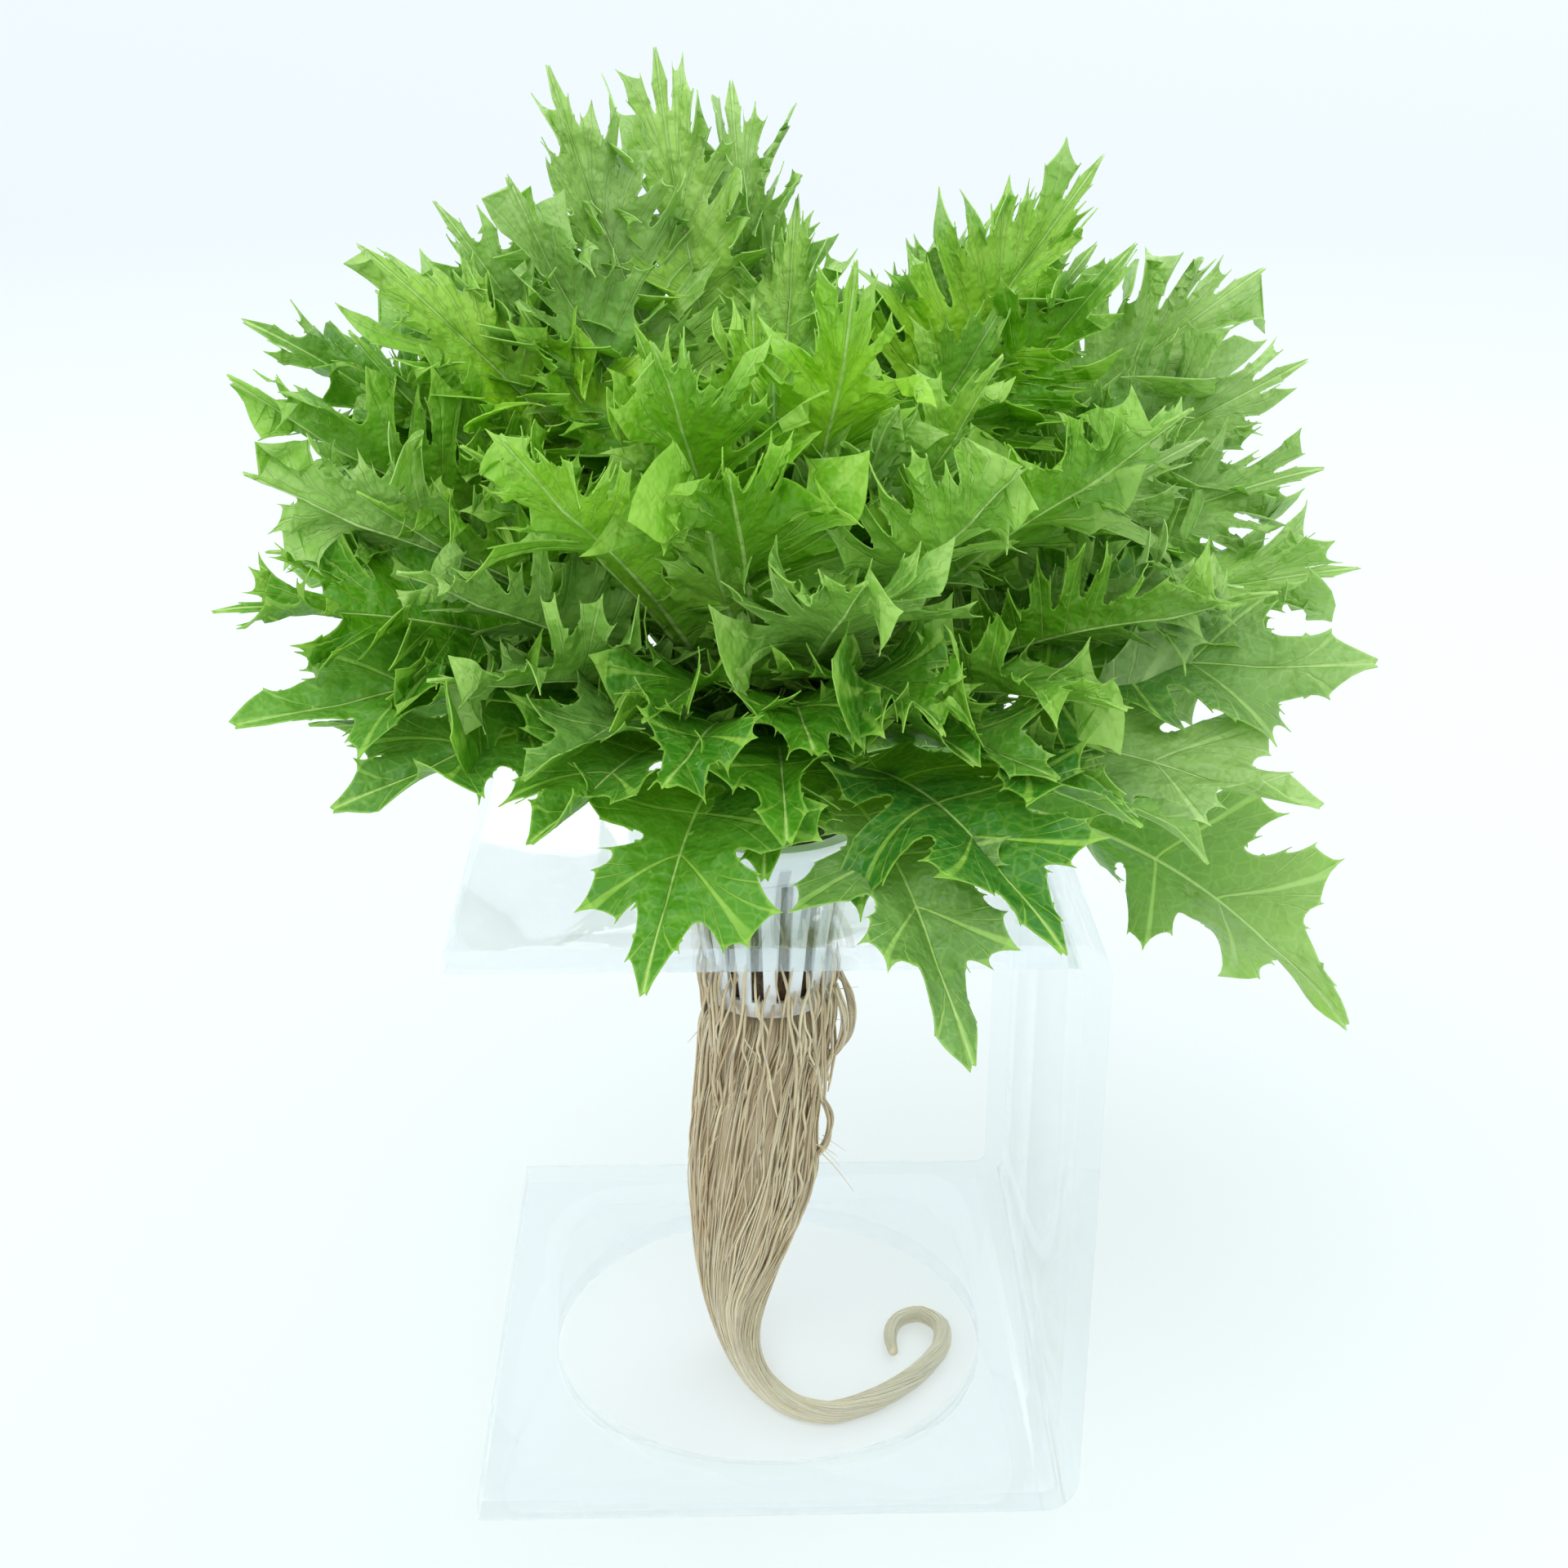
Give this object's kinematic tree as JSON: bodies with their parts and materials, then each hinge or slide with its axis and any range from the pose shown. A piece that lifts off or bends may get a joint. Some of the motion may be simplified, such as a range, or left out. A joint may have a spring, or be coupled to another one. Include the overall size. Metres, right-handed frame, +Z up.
{
  "type": "green leaf lettuce in a net pot on a display stand",
  "caption": "Frilly green leaf lettuce with its roots, held by a slotted net pot that hangs in the top plate of a clear bent display stand.",
  "frame": {"origin": "middle of the bounding box, on the surface that the stand rests on", "axes": "+Z up, -Y towards the front, with the stand's side wall at +X"},
  "size_m": [0.277, 0.2538, 0.3441],
  "materials": {
    "clear_sheet": "clear polished sheet",
    "white_plastic": "satin moulded",
    "plug_fibre": "matt fibrous",
    "leaf": "soft satin leaf",
    "root": "damp fibrous"
  },
  "bodies": {
    "root": {"display_stand": "clear_sheet", "net_pot": "white_plastic", "growing_plug": "plug_fibre", "lettuce_head": "leaf", "roots": "root"}
  },
  "joints": []
}
